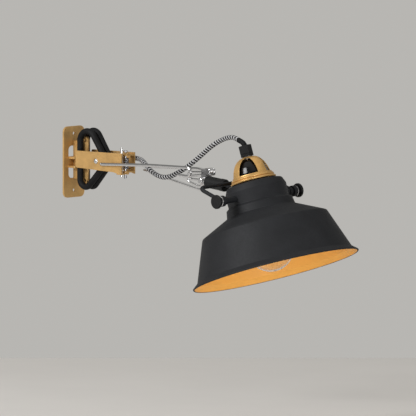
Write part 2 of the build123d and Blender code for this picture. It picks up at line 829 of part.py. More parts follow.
with BuildPart() as lamp_holder:
    with BuildSketch(shade_section):
        with BuildLine():
            Polyline(
                (holder_bore_r, holder_low),
                (holder_skirt_r, holder_low),
                (holder_skirt_r, holder_skirt_h - holder_slope),
                (holder_r, holder_skirt_h),
                (holder_r, holder_high - holder_bevel),
                (holder_r - holder_bevel, holder_high),
                (nipple_r + running_fit, holder_high),
                (nipple_r + running_fit, nipple_low),
                (0, nipple_low),
                (0, holder_bore_top),
                (holder_bore_r, holder_bore_top),
                close=True,
            )
        make_face()
    revolve(axis=shade_axis)
save(lamp_holder, "lamp_holder", head_turn)

with BuildPart() as holder_ring:
    with BuildSketch(shade_section):
        ring_middle = holder_skirt_h - holder_ring_down - holder_ring_h / 2
        with Locations(((holder_skirt_r + running_fit + holder_ring_r) / 2, ring_middle)):
            Rectangle(holder_ring_r - holder_skirt_r - running_fit, holder_ring_h)
    revolve(axis=shade_axis)
save(holder_ring, "holder_ring", head_turn)

with BuildPart() as nipple:
    with BuildSketch(shade_level(nipple_low)):
        Circle(nipple_r)
        Circle(nipple_bore_r, mode=Mode.SUBTRACT)
    extrude(amount=nipple_high - nipple_low)
save(nipple, "nipple", head_turn)

with BuildPart() as gland_nut:
    with BuildSketch(shade_level(dome_profile[-1][1] - dome_t - gland_nut_h - 1.2)):
        RegularPolygon(gland_nut_r, 6)
        Circle(nipple_r + running_fit, mode=Mode.SUBTRACT)
    extrude(amount=gland_nut_h)
save(gland_nut, "gland_nut", head_turn)

with BuildPart() as cord_gland:
    with BuildSketch(shade_level(gland_low)):
        RegularPolygon(gland_r, 8, major_radius=False)
    extrude(amount=gland_high - gland_low)
    with BuildSketch(shade_level(gland_low)):
        Circle(nipple_r + running_fit)
    extrude(amount=nipple_high - gland_low, mode=Mode.SUBTRACT)
    with BuildSketch(shade_level(gland_high)):
        Circle(sleeve_fit_r + running_fit)
    extrude(amount=-(gland_high - nipple_high), mode=Mode.SUBTRACT)
save(cord_gland, "cord_gland", head_turn)

with BuildPart() as gland_cap:
    with BuildSketch(shade_level(gland_high)):
        Circle(gland_r - 0.6)
    extrude(amount=gland_cap_high - gland_high)
    chamfer(gland_cap.edges().sort_by(shade_axis)[-1], gland_cap_bevel)
    with BuildSketch(shade_level(gland_high)):
        Circle(sleeve_fit_r + running_fit)
    extrude(amount=gland_cap_high - gland_high, mode=Mode.SUBTRACT)
save(gland_cap, "gland_cap", head_turn)

sleeve_reach = Vector(-9.9, 0, 3.6)  # from the sleeve's bend to the cord
sleeve_foot = rim_centre + shade_up * (nipple_high + 0.5)
sleeve_bend = rim_centre + shade_up * (gland_cap_high + sleeve_bend_up)
cord_exit = sleeve_bend + sleeve_reach
cord_sleeve = swept_wire([sleeve_foot, sleeve_bend, cord_exit], [sleeve_bend_r], sleeve_fit_r)
save(cord_sleeve, "cord_sleeve", head_turn)


def bulb_outline(wall):
    """Half outline of the bulb, drawn inwards by the wall."""
    round_r = bulb_r - wall
    low = bulb_r - round_r
    half = sin(pi / 4)
    with BuildPart() as piece:
        with BuildSketch(shade_section):
            with BuildLine():
                tip = ThreePointArc((0, low), (round_r * half, bulb_r - round_r * half), (round_r, bulb_r))
                side = ThreePointArc(tip @ 1, (bulb_r * 0.955 - wall, bulb_r * 1.35), (bulb_hip_r - wall, bulb_hip_h))
                hip = Line(side @ 1, (bulb_neck_r + 2.0 - wall, bulb_hip_h + 18.0))
                neck = Line(hip @ 1, (bulb_neck_r - wall, bulb_neck_h))
                Polyline(neck @ 1, (0, bulb_neck_h), (0, low))
            make_face()
        revolve(axis=shade_axis)
    return piece


bulb_glass = bulb_outline(0.0)
with bulb_glass:
    add(bulb_outline(bulb_wall).part, mode=Mode.SUBTRACT)
save(bulb_glass, "bulb_glass", head_turn)

with BuildPart() as bulb_cap:
    with BuildSketch(shade_section):
        with BuildLine():
            Polyline(
                (0, bulb_neck_h - filament_seat),
                (bulb_neck_r - bulb_wall - cap_fit, bulb_neck_h - filament_seat),
                (bulb_neck_r - bulb_wall - cap_fit, bulb_neck_h),
                (cap_r, bulb_neck_h),
                (cap_r, bulb_cap_top - 4.0),
                (contact_r, bulb_cap_top),
                (contact_r, bulb_top),
                (0, bulb_top),
                close=True,
            )
        make_face()
    revolve(axis=shade_axis)
save(bulb_cap, "bulb_cap", head_turn)

with BuildPart() as filament:
    stem_low = bulb_neck_h - filament_seat - filament_stem_len
    with BuildSketch(shade_level(stem_low)):
        Circle(filament_stem_r)
    extrude(amount=filament_stem_len)
    with BuildSketch(shade_level(stem_low + 0.5 - filament_len)):
        with PolarLocations(filament_circle, filament_count):
            Circle(filament_r)
    extrude(amount=filament_len)
save(filament, "filament", head_turn)

# ================= knobs =================

for side in (NEAR, FAR):
    with BuildPart() as knob:
        with BuildSketch(knob_level(side, knob_in)):
            Circle(knob_r)
        extrude(amount=knob_len)
        chamfer(knob.edges(), knob_bevel)
        with BuildSketch(knob_level(side, hub_in)):
            Circle(knob_hub_r)
        extrude(amount=knob_hub_len)
        with BuildSketch(knob_level(side, hub_in)):
            Circle(shank_r)
        extrude(amount=-(hub_in - shank_in))
    save(knob, ENDS[side] + "_knob", head_turn)

# ================= cord =================

cord_route = [
    Vector(plate_t + grommet_lip, grommet_y, grommet_z),
    Vector(12.5, grommet_y, grommet_z),
    Vector(26.0, 20.2, 2.4),
    Vector(50.0, 20.6, 6.0),
    Vector(80.0, 19.4, 9.4),
    Vector(104.0, 16.6, 9.4),
    Vector(120.0, 9.0, 5.0),
    Vector(133.5, 5.0, -2.8),
    Vector(146.0, 4.4, -8.2),
    Vector(158.5, 4.0, -10.2),
    Vector(171.5, 4.0, -7.8),
    Vector(185.0, 3.8, -2.0),
    Vector(200.0, 3.4, 5.4),
    Vector(222.0, 2.5, 19.0),
    Vector(245.0, 1.3, 34.8),
    Vector(261.0, 0.2, 42.8),
    Vector(276.0, -1.0, 48.0),
    Vector(288.8, -1.9, 49.6),
    head_point(cord_exit + sleeve_reach.normalized() * touch_gap),
]


def corner_radii(points, share=0.45):
    """The largest arc that each corner's two runs allow."""
    radii = []
    for a, b, c in zip(points, points[1:], points[2:]):
        turn = radians((b - a).get_angle(c - b))
        radii.append(share * min((b - a).length, (c - b).length) / tan(turn / 2))
    return radii


cord_radii = corner_radii(cord_route)
cord_arm = swept_wire(cord_route, cord_radii, cord_r)
save(cord_arm, "cord_arm")
cord_length = cord_arm.part.volume / (pi * cord_r**2)
run_length = sum((b - a).length for a, b in zip(cord_route, cord_route[1:]))
print("cord radii", [round(r, 1) for r in cord_radii])
print("cord length from volume", round(cord_length, 1), "mm, runs added up", round(run_length, 1), "mm")
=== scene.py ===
# %% [markdown]
# # A clamp-on wall lamp with a tilting metal shade
# This lesson dresses a wall lamp whose frame is already modelled. A gold plate sits on the wall, a spring
# clamp with rubber loops grips the plate's tongue, and long chrome wires carry a black shade in a yoke.
# The first step loads that frame, because every new piece has to sit on it.

# %% Load the frame
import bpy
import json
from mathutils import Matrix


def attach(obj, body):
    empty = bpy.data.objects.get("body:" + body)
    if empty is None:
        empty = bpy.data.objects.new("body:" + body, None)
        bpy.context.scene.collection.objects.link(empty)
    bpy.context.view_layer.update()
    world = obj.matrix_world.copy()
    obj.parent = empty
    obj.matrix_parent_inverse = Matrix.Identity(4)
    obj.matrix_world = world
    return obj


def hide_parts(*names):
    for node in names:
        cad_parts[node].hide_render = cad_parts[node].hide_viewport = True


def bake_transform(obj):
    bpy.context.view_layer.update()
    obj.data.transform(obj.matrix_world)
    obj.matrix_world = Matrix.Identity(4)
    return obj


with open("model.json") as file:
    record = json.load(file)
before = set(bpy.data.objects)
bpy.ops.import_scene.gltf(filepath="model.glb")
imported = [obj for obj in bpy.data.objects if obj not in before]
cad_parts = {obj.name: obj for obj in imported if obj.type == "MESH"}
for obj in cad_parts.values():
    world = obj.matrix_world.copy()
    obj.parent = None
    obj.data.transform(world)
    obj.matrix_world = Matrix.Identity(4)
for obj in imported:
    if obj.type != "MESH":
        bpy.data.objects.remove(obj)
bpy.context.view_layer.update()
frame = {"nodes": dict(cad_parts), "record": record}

# %%
import bpy
import json
from math import acos, cos, pi, radians, sin, tan
from mathutils import Matrix, Vector

MM = 0.001

# %% [markdown]
# The camera stands to the right of the arm and a little above it, far away with a long lens, so that
# parallel edges stay nearly parallel, as they do in a catalogue picture. A short lens close by would
# make the shade look bigger than the plate.

# %% Camera
AZIMUTH = radians(45.0)
ELEVATION = radians(5.5)
DISTANCE = 18.0
LENS = 1246.0
SENSOR_WIDTH = 36.0
back = Vector((sin(AZIMUTH) * cos(ELEVATION), -cos(AZIMUTH) * cos(ELEVATION), sin(ELEVATION)))
target = Vector((0.2412, 0.0, -0.0426))
camera_data = bpy.data.cameras.new("camera")
camera_data.lens = LENS
camera_data.sensor_width = SENSOR_WIDTH
camera = bpy.data.objects.new("camera", camera_data)
camera.location = target + back * DISTANCE
camera.rotation_mode = "QUATERNION"
camera.rotation_quaternion = (-back).to_track_quat("-Z", "Y")
bpy.context.scene.collection.objects.link(camera)
bpy.context.scene.camera = camera
print("camera at", tuple(round(x, 3) for x in camera.location))

# %% [markdown]
# A mesh object needs a name, points, faces and a finish. This helper makes one and links it. Every
# later piece passes through it, so the pieces are made in one way.

# %% Make a mesh object
def make_piece(name, points, faces, smooth=True):
    mesh = bpy.data.meshes.new(name)
    mesh.from_pydata([tuple(p) for p in points], [], faces)
    mesh.validate()
    for face in mesh.polygons:
        face.use_smooth = smooth
    piece = bpy.data.objects.new(name, mesh)
    bpy.context.scene.collection.objects.link(piece)
    return piece


# %% [markdown]
# ## The textile cord
# The cord leaves the wall through a grommet, runs along the clamp, dips under the wires, climbs over
# the yoke and drops into the gland on the dome. A cord is one smooth curve. A NURBS spline gives that
# from a few points, because it only leans towards them.

# %% The cord's route
CORD_ROUTE = [
    (3.4, 12.8, 0.5), (12.5, 12.8, 0.5), (26.0, 20.2, 2.4), (50.0, 20.6, 6.0), (80.0, 19.4, 9.4),
    (104.0, 16.6, 9.4), (120.0, 9.0, 5.0), (133.5, 5.0, -2.8), (146.0, 4.4, -8.2), (158.5, 4.0, -10.2),
    (171.5, 4.0, -7.8), (185.0, 3.8, -2.0), (200.0, 3.4, 5.4), (222.0, 2.5, 19.0), (245.0, 1.3, 34.8),
    (261.0, 0.2, 42.8), (276.0, -1.0, 48.0), (288.8, -1.9, 49.6), (296.77, -2.13, 46.63),
]
CORD_DIAMETER = 6.0 * MM


def cord_line(route):
    """Points along the smooth spline that the route's points pull."""
    curve = bpy.data.curves.new("cord_line", "CURVE")
    curve.dimensions = "3D"
    spline = curve.splines.new("NURBS")
    spline.points.add(len(route) - 1)
    for point, place in zip(spline.points, route):
        point.co = (place[0] * MM, place[1] * MM, place[2] * MM, 1.0)
    spline.order_u = 3
    spline.use_endpoint_u = True
    spline.resolution_u = 14
    holder = bpy.data.objects.new("cord_line", curve)
    bpy.context.scene.collection.objects.link(holder)
    mesh = bpy.data.meshes.new_from_object(holder)
    points = [v.co.copy() for v in mesh.vertices]
    bpy.data.objects.remove(holder)
    bpy.data.meshes.remove(mesh)
    return points


line = cord_line(CORD_ROUTE)
print("cord line has", len(line), "points and is",
      round(sum((b - a).length for a, b in zip(line, line[1:])) / MM, 1), "mm long")

# %% [markdown]
# The cord crosses three joints, so it is made as three tubes that meet end to end, one stretch at
# each joint. The tube also needs coordinates on its surface, one round it and one along it, because its
# woven zigzag follows them.

# %% Sweep a round tube
def sweep_tube(name, points, radius, sides=24):
    """A closed round tube along a line of points."""
    rings, lengths, run = [], [], 0.0
    normal = None
    for i, p in enumerate(points):
        before, after = points[max(i - 1, 0)], points[min(i + 1, len(points) - 1)]
        heading = (after - before).normalized()
        if normal is None:
            normal = heading.orthogonal().normalized()
        else:
            normal = (normal - heading * normal.dot(heading)).normalized()
            run += (p - points[i - 1]).length
        side = heading.cross(normal)
        angles = [2 * pi * k / sides for k in range(sides)]
        rings.append([p + (normal * cos(a) + side * sin(a)) * radius for a in angles])
        lengths.append(run)
    vertices = [v for ring in rings for v in ring]
    faces = [(i * sides + k, i * sides + (k + 1) % sides,
              (i + 1) * sides + (k + 1) % sides, (i + 1) * sides + k)
             for i in range(len(rings) - 1) for k in range(sides)]
    faces.append(tuple(reversed(range(sides))))
    faces.append(tuple((len(rings) - 1) * sides + k for k in range(sides)))
    piece = make_piece(name, vertices, faces)
    uv = piece.data.uv_layers.new(name="UVMap")
    round_length = 2 * pi * radius
    for index in range((len(rings) - 1) * sides):
        i, k = divmod(index, sides)
        corners = [(k, i), (k + 1, i), (k + 1, i + 1), (k, i + 1)]
        for loop, (around, ring) in zip(piece.data.polygons[index].loop_indices, corners):
            uv.data[loop].uv = (around / sides, lengths[ring] / round_length)
    return piece


# %% Three stretches of cord
def split_at(points, x):
    """The line up to the first point past x, and the rest from that point."""
    cut = next(i for i, p in enumerate(points) if p.x >= x * MM)
    return points[: cut + 1], points[cut:]


SWIVEL_SPLIT, YOKE_SPLIT = 214.0, 252.5
to_swivel, rest_of_line = split_at(line, SWIVEL_SPLIT)
over_swivel, to_gland = split_at(rest_of_line, YOKE_SPLIT)
CORD_STRETCHES = [
    ("cord_at_wall", to_swivel, "bracket", "swivel", (182.0, 3.8, -3.0), (213.0, 2.9, 13.6)),
    ("cord_over_swivel", over_swivel, "swivel", "yoke", (216.0, 2.8, 15.4), (251.5, 0.9, 38.2)),
    ("cord_at_gland", to_gland, "yoke", "shade", (254.5, 0.7, 39.8), (294.0, -2.0, 47.6)),
]
cords = []
for name, points, first_body, next_body, start, end in CORD_STRETCHES:
    cord = sweep_tube(name, points, CORD_DIAMETER / 2)
    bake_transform(cord)
    cords.append(cord)
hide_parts("cord_arm")

# %% [markdown]
# ## Finishes
# Each finish is a small tree of nodes. Noise at a real scale makes the surface uneven in colour, gloss
# and height, because even a new painted sheet is never one flat colour. A picture could give this
# too, but a node tree has no seams and stays sharp when the camera comes near.

# %% Start a finish
NOISE_ROUGHNESS = 0.55


class Finish:
    """A material with a few helpers to add nodes to it."""

    def __init__(self, name, colour, roughness, metallic=0.0):
        self.material = bpy.data.materials.new(name)
        self.material.use_nodes = True
        self.nodes = self.material.node_tree.nodes
        self.links = self.material.node_tree.links
        self.shader = self.nodes["Principled BSDF"]
        self.shader.inputs["Base Color"].default_value = (*colour, 1.0)
        self.shader.inputs["Roughness"].default_value = roughness
        self.shader.inputs["Metallic"].default_value = metallic
        self.material.diffuse_color = (*colour, 1.0)
        self.place = self.nodes.new("ShaderNodeTexCoord").outputs["Object"]

    def node(self, kind, **settings):
        node = self.nodes.new(kind)
        for key, value in settings.items():
            setattr(node, key, value)
        return node

    def link(self, out, into):
        self.links.new(out, into)

    def noise(self, size_mm, detail=4.0):
        """Noise whose blobs are about size_mm across."""
        noise = self.node("ShaderNodeTexNoise")
        noise.inputs["Scale"].default_value = 1.0 / (size_mm * MM)
        noise.inputs["Detail"].default_value = detail
        noise.inputs["Roughness"].default_value = NOISE_ROUGHNESS
        self.link(self.place, noise.inputs["Vector"])
        return noise.outputs["Fac"]

    def between(self, factor, low, high, start=0.35, end=0.65):
        """A value that runs from low to high as the factor rises."""
        spread = self.node("ShaderNodeMapRange")
        spread.inputs["From Min"].default_value = start
        spread.inputs["From Max"].default_value = end
        spread.inputs["To Min"].default_value = low
        spread.inputs["To Max"].default_value = high
        self.link(factor, spread.inputs["Value"])
        return spread.outputs["Result"]

    def blend_colours(self, factor, first, second):
        """Runs from the first colour, or socket with a colour, to the second."""
        mix = self.node("ShaderNodeMix", data_type="RGBA")
        for name, colour in (("A", first), ("B", second)):
            if isinstance(colour, tuple):
                mix.inputs[name].default_value = (*colour, 1.0)
            else:
                self.link(colour, mix.inputs[name])
        self.link(factor, mix.inputs["Factor"])
        return mix.outputs["Result"]

    def colour_surface(self, colour):
        self.link(colour, self.shader.inputs["Base Color"])

    def roughen(self, noise, low, high):
        self.link(self.between(noise, low, high), self.shader.inputs["Roughness"])

    def bump(self, height, strength, depth_mm):
        bump = self.node("ShaderNodeBump")
        bump.inputs["Strength"].default_value = strength
        bump.inputs["Distance"].default_value = depth_mm * MM
        self.link(height, bump.inputs["Height"])
        self.link(bump.outputs["Normal"], self.shader.inputs["Normal"])


# %% [markdown]
# The plate, tongue and strips have a satin gold paint. It is half metallic: the flakes in it mirror
# the room softly. Large slow noise shifts the tone, finer noise shifts the gloss, and the finest makes
# the paint's grain.

# %% Gold paint
def gold_paint(name, colour, roughness, metallic=0.5, cloud=0.12):
    finish = Finish(name, colour, roughness, metallic=metallic)
    tone = finish.between(finish.noise(14.0), 0.0, 1.0)
    darker = tuple(c * (1.0 - cloud) for c in colour)
    paler = tuple(min(1.0, c * (1.0 + cloud)) for c in colour)
    finish.colour_surface(finish.blend_colours(tone, darker, paler))
    finish.roughen(finish.noise(2.2), roughness - 0.06, roughness + 0.09)
    finish.bump(finish.noise(0.5, detail=2.0), 0.25, 0.04)
    return finish.material


finishes = {
    "gold_paint": gold_paint("gold_paint", (0.585, 0.355, 0.130), 0.42),
    "gold_dome": gold_paint("gold_dome", (0.60, 0.355, 0.118), 0.38),
}
print("gold paints made")

# %% [markdown]
# Chrome plating mirrors its surroundings, so its look comes from the lamps and the room. Fine smears
# in the roughness break up the mirror. The darker steel of the pin and spring is rougher.

# %% Chrome and steel
def bright_metal(name, colour, roughness, smear):
    finish = Finish(name, colour, roughness, metallic=1.0)
    finish.roughen(finish.noise(3.0), roughness - smear, roughness + smear)
    tone = finish.between(finish.noise(9.0), 0.0, 1.0)
    duller = tuple(c * 0.9 for c in colour)
    finish.colour_surface(finish.blend_colours(tone, duller, colour))
    finish.bump(finish.noise(1.2, detail=1.0), 0.05, 0.02)
    return finish.material


finishes["chrome"] = bright_metal("chrome", (0.74, 0.74, 0.75), 0.12, 0.03)
finishes["steel"] = bright_metal("steel", (0.36, 0.36, 0.375), 0.24, 0.08)
finishes["bulb_brass"] = bright_metal("bulb_brass", (0.66, 0.56, 0.36), 0.30, 0.06)
print("metals made")

# %% [markdown]
# Rubber, powder coat and moulded plastic are all black here, and only their surface tells them apart.
# The powder coat has a fine orange-peel grain, the rubber is duller with dust in its pores, and the
# holder's plastic is smooth enough to mirror the lamps.

# %% Blacks
def black_coat(name, colour, roughness, grain_mm, grain_depth, shine, dust=0.12):
    finish = Finish(name, colour, roughness)
    cloud = finish.between(finish.noise(22.0), 0.0, 1.0)
    paler = tuple(c * (1.0 + dust) + 0.004 * dust for c in colour)
    darker = tuple(c * (1.0 - dust) for c in colour)
    finish.colour_surface(finish.blend_colours(cloud, darker, paler))
    finish.roughen(finish.noise(1.6), roughness - 0.05, roughness + 0.06)
    finish.bump(finish.noise(grain_mm, detail=2.0), 0.5, grain_depth)
    finish.shader.inputs["Specular IOR Level"].default_value = shine
    return finish.material


BLACKS = [
    # name, colour, roughness, grain and its depth in mm, shine, dust
    ("black_rubber", (0.0050, 0.0052, 0.0058), 0.66, 0.5, 0.05, 0.20, 0.3),
    ("black_paint", (0.0120, 0.0128, 0.0150), 0.62, 0.7, 0.035, 0.24),
    ("black_plastic", (0.0065, 0.0066, 0.007), 0.50, 0.6, 0.02, 0.26),
    ("gloss_black", (0.003, 0.003, 0.0034), 0.14, 6.0, 0.01, 0.30),
]
for settings in BLACKS:
    finishes[settings[0]] = black_coat(*settings)
print("blacks made")

# %% [markdown]
# Inside, the shade has the same gold as the dome, but warmer, and duller than the outside of the
# dome. It scatters the light of the bulb down onto the table.

# %% Gold lining
finishes["gold_lining"] = gold_paint("gold_lining", (0.96, 0.475, 0.085), 0.5, metallic=0.0, cloud=0.03)

# %% [markdown]
# Clear glass needs no colour. A faint unevenness from blowing makes its highlights wander a little.
# The rods inside it are pale yellow phosphor.

# %% Glass and filament
glass = Finish("clear_glass", (0.97, 0.98, 0.97), 0.02)
glass.shader.inputs["Transmission Weight"].default_value = 1.0
glass.shader.inputs["IOR"].default_value = 1.45
glass.bump(glass.noise(16.0, detail=1.0), 0.04, 0.03)
glass.roughen(glass.noise(30.0), 0.01, 0.035)
finishes["clear_glass"] = glass.material
rods = Finish("filament_yellow", (0.90, 0.70, 0.28), 0.55)
rod_tone = rods.between(rods.noise(1.5), 0.0, 1.0)
rods.colour_surface(rods.blend_colours(rod_tone, (0.82, 0.58, 0.2), (0.95, 0.80, 0.42)))
finishes["filament_yellow"] = rods.material
print("glass made")

# %% [markdown]
# The cord is braided from black and white yarns, which cross in a zigzag. The tree folds the
# coordinate round the cord into a saw tooth, adds the one along it, and repeats the sum, so slanted
# stripes meet in points. Fine ribs across the stripes stand for the single yarns. Each rib is a bump,
# and its colour is painted darker in the groove between yarns and paler on its crest: painted shade and
# painted highlight.

# %% Braided textile
STRIPES_ALONG = 4.3  # in a length as long as the cord is round
TEETH_AROUND = 4.0
TOOTH_SLANT = 0.6
YARNS_ALONG = 31.4


def braided_textile():
    finish = Finish("textile_cord", (0.3, 0.3, 0.31), 0.85)
    split = finish.node("ShaderNodeSeparateXYZ")
    surface = finish.node("ShaderNodeUVMap", uv_map="UVMap").outputs["UV"]
    finish.link(surface, split.inputs["Vector"])

    def calculate(operation, first, second=0.0):
        maths = finish.node("ShaderNodeMath", operation=operation)
        for socket, value in zip(maths.inputs, (first, second)):
            if isinstance(value, float):
                socket.default_value = value
            else:
                finish.link(value, socket)
        return maths.outputs["Value"]

    around, along = split.outputs["X"], split.outputs["Y"]
    tooth = calculate("PINGPONG", calculate("MULTIPLY", around, TEETH_AROUND), 1.0)
    run = calculate("MULTIPLY", along, STRIPES_ALONG)
    stripe = calculate("FRACT", calculate("ADD", run, calculate("MULTIPLY", tooth, TOOTH_SLANT)))
    edge = calculate("PINGPONG", stripe, 0.5)
    white = finish.between(edge, 0.0, 1.0, 0.29, 0.31)
    crossing = calculate("SUBTRACT", run, tooth)
    # Painted shade and highlight: each yarn's colour runs darker in the groove and paler on the crest,
    # following its bump.
    yarn = calculate("SINE", calculate("MULTIPLY", crossing, YARNS_ALONG))
    shade = finish.between(yarn, 0.0, 1.0, -1.0, 1.0)
    pale = finish.blend_colours(shade, (0.36, 0.36, 0.37), (0.60, 0.60, 0.61))
    dark = finish.blend_colours(shade, (0.003, 0.003, 0.004), (0.010, 0.010, 0.011))
    finish.colour_surface(finish.blend_colours(white, dark, pale))
    finish.bump(yarn, 0.35, 0.12)
    finish.shader.inputs["Sheen Weight"].default_value = 0.08
    finish.shader.inputs["Specular IOR Level"].default_value = 0.2
    return finish.material


finishes["textile_cord"] = braided_textile()
for cord in cords:
    cord.data.materials.append(finishes["textile_cord"])
print("braid made")

# %% [markdown]
# ## The shade
# The shade is spun from steel sheet: a wide skirt with a shallow step at its rim, a flat shoulder and a
# grooved neck. A spun piece is a profile turned round an axis. The turning is done ring by ring here,
# because that gives even faces, and lets the outside and the lining have their own finishes.

# %% The shade's own axes
TILT = radians(18.0)
HEAD_TURN = radians(2.0)
KNOB_HEIGHT = 96.5  # above the rim
SWIVEL_CENTRE = Vector((0.232, 0.0, -0.009))
SWIVEL_WAY = Vector((cos(radians(5.0)), 0.0, -sin(radians(5.0))))
KNOB_CENTRE = Vector((0.328, 0.0, -0.0218))
turn = Matrix.Rotation(HEAD_TURN, 3, SWIVEL_WAY)
upright = Vector((-sin(TILT), 0.0, cos(TILT)))
SHADE_UP = turn @ upright
SHADE_OUT = turn @ Vector((cos(TILT), 0.0, sin(TILT)))
SHADE_SIDE = turn @ Vector((0.0, 1.0, 0.0))
RIM_CENTRE = SWIVEL_CENTRE + turn @ (KNOB_CENTRE - upright * (KNOB_HEIGHT * MM) - SWIVEL_CENTRE)


def round_corners(points, radii, steps=6):
    """The corners of a profile, each replaced by a small arc."""
    result = [Vector(points[0])]
    for before, corner, after, radius in zip(points, points[1:], points[2:], radii):
        corner = Vector(corner)
        back_way = (Vector(before) - corner).normalized()
        on_way = (Vector(after) - corner).normalized()
        half = acos(max(-1.0, min(1.0, back_way.dot(on_way)))) / 2
        reach = radius / tan(half)
        centre = corner + (back_way + on_way).normalized() * (radius / sin(half))
        first, last = corner + back_way * reach - centre, corner + on_way * reach - centre
        turn = first.angle_signed(last) if first.length and last.length else 0.0
        for i in range(steps + 1):
            a = -turn * i / steps
            result.append(centre + Vector((first.x * cos(a) - first.y * sin(a),
                                           first.x * sin(a) + first.y * cos(a))))
    result.append(Vector(points[-1]))
    return result


def draw_inside(profile, wall):
    """The same profile, one wall thickness further in."""
    result = []
    for i, p in enumerate(profile):
        way = (profile[min(i + 1, len(profile) - 1)] - profile[max(i - 1, 0)]).normalized()
        result.append(p + Vector((-way.y, way.x)) * wall)
    return result


def spin_profile(name, profile, origin, up, out, side, steps=160):
    """Turns a closed profile of (radius, height) points round an axis."""
    count = len(profile)
    points = []
    for k in range(steps):
        a = 2 * pi * k / steps
        spoke = out * cos(a) + side * sin(a)
        points += [origin + spoke * (p[0] * MM) + up * (p[1] * MM) for p in profile]
    faces = []
    for k in range(steps):
        here, there = k * count, (k + 1) % steps * count
        for i in range(count):
            on = (i + 1) % count
            faces.append((here + i, there + i, there + on, here + on))
    return make_piece(name, points, faces)


# %% The spun shade
RIM_RADIUS = 105.2
BEAD_RADIUS = 1.1
SHEET = 1.0
LINED_BEAD_ROWS = 2
SHADE_LINE = [(RIM_RADIUS, 1.2), (99.2, 7.5), (80.0, 58.9), (43.8, 76.7), (42.2, 86.2), (38.6, 89.0),
              (38.9, 105.0), (35.4, 113.0), (22.5, 115.3)]
outside = round_corners(SHADE_LINE, [2.0, 4.0, 3.0, 1.5, 1.5, 2.5, 2.5])
inside = draw_inside(outside, SHEET)
bead_angles = [radians(60 - 20 * i) for i in range(13)]
bead = [Vector((RIM_RADIUS + BEAD_RADIUS * cos(a), BEAD_RADIUS + BEAD_RADIUS * sin(a))) for a in bead_angles]
profile = bead[::-1] + outside[1:] + inside[:0:-1]
shade = spin_profile("shade_shell", profile, RIM_CENTRE, SHADE_UP, SHADE_OUT, SHADE_SIDE)
shade.data.materials.append(finishes["black_paint"])
shade.data.materials.append(finishes["gold_lining"])
first_lining = len(bead) + len(outside) - 1
for face in shade.data.polygons:
    row = face.index % len(profile)
    face.material_index = 1 if row >= first_lining or row < LINED_BEAD_ROWS else 0
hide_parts("shade")
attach(shade, "shade")
print("shade has", len(shade.data.polygons), "faces")

# %% [markdown]
# ## The dome
# The gold dome on the neck is spun too, with a stepped foot, and four pointed windows are punched out of
# it. The spun shell is closed first, and then each window is cut with a Boolean modifier, because a
# punched edge is sharp and follows no ring of the spinning. A narrow bevel then catches the light there.

# %% The dome's shell
DOME_LINE = [(28.6, 115.5), (29.1, 117.2), (28.0, 118.0), (26.4, 118.1), (26.2, 118.6), (27.0, 119.2),
             (27.4, 120.2), (26.6, 121.3), (25.3, 122.2), (24.7, 125.6), (22.9, 131.6), (19.8, 137.8),
             (15.4, 142.9), (10.2, 146.0), (5.4, 147.1)]
DOME_BENDS = [0.6, 0.5, 0.3, 0.3, 0.5, 0.7, 0.7, 0.6, 1.5, 14.0, 16.0, 18.0, 16.0]
DOME_LINING = [(27.4, 115.5), (25.2, 117.6), (24.2, 121.4), (23.6, 125.6), (21.8, 131.1), (18.8, 137.0),
               (14.6, 141.8), (9.7, 144.9), (5.4, 146.0)]
LINING_BENDS = [0.8, 1.5, 12.0, 15.0, 17.0, 17.0, 15.0]
dome_outside = round_corners(DOME_LINE, DOME_BENDS, steps=4)
dome_inside = round_corners(DOME_LINING, LINING_BENDS, steps=3)
dome = spin_profile("dome_shell", dome_outside + dome_inside[::-1], RIM_CENTRE, SHADE_UP, SHADE_OUT,
                    SHADE_SIDE, steps=128)


# %% Cut the pointed windows
WINDOW_COUNT = 4
FIRST_WINDOW = -54.5
WINDOW_ARCH = (12.2, 123.4, 124.4, 145.2)  # half width, and the heights of foot, spring and apex
ARCH_BOW = 1.5
CUT_FROM, CUT_TO = 6.0, 40.0
WINDOW_EDGE = 0.25


def arch_outline(half, foot, spring, apex, steps=8):
    """Corners of a pointed arch, counted round from its lower right corner."""
    shares = [i / steps for i in range(steps + 1)]
    side = [Vector((half * (1.0 - share ** ARCH_BOW), spring + (apex - spring) * sin(pi / 2 * share)))
            for share in shares]
    right = [Vector((half, foot))] + side
    return right + [Vector((-p.x, p.y)) for p in reversed(right[:-1])]


def window_cutter(azimuth):
    """A block with the arch's outline, from near the axis outwards."""
    a = radians(azimuth)
    outwards = SHADE_OUT * cos(a) + SHADE_SIDE * sin(a)
    sideways = SHADE_SIDE * cos(a) - SHADE_OUT * sin(a)
    outline = arch_outline(*WINDOW_ARCH)
    points = [RIM_CENTRE + outwards * (far * MM) + sideways * (p.x * MM) + SHADE_UP * (p.y * MM)
              for far in (CUT_FROM, CUT_TO) for p in outline]
    count = len(outline)
    faces = [tuple(range(count))[::-1], tuple(range(count, 2 * count))]
    faces += [(k, (k + 1) % count, count + (k + 1) % count, count + k) for k in range(count)]
    return make_piece("window_cutter", points, faces, smooth=False)


def punch(piece, cutters, edge_width):
    """Cuts the cutters out of a piece and bevels its sharp edges."""
    for cutter in cutters:
        cut = piece.modifiers.new("cut", "BOOLEAN")
        cut.operation = "DIFFERENCE"
        cut.solver = "EXACT"
        cut.object = cutter
    edge = piece.modifiers.new("edge", "BEVEL")
    edge.width = edge_width * MM
    edge.segments = 2
    edge.limit_method = "ANGLE"
    edge.angle_limit = radians(50.0)
    bpy.context.view_layer.update()
    punched = bpy.data.meshes.new_from_object(piece.evaluated_get(bpy.context.evaluated_depsgraph_get()))
    piece.modifiers.clear()
    piece.data = punched
    piece.data.materials.clear()
    for cutter in cutters:
        bpy.data.objects.remove(cutter)


cutters = [window_cutter(FIRST_WINDOW + 360.0 / WINDOW_COUNT * k) for k in range(WINDOW_COUNT)]
punch(dome, cutters, WINDOW_EDGE)
dome.data.materials.append(finishes["gold_dome"])
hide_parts("dome_gallery")
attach(dome, "shade")
print("dome has", len(dome.data.polygons), "faces")

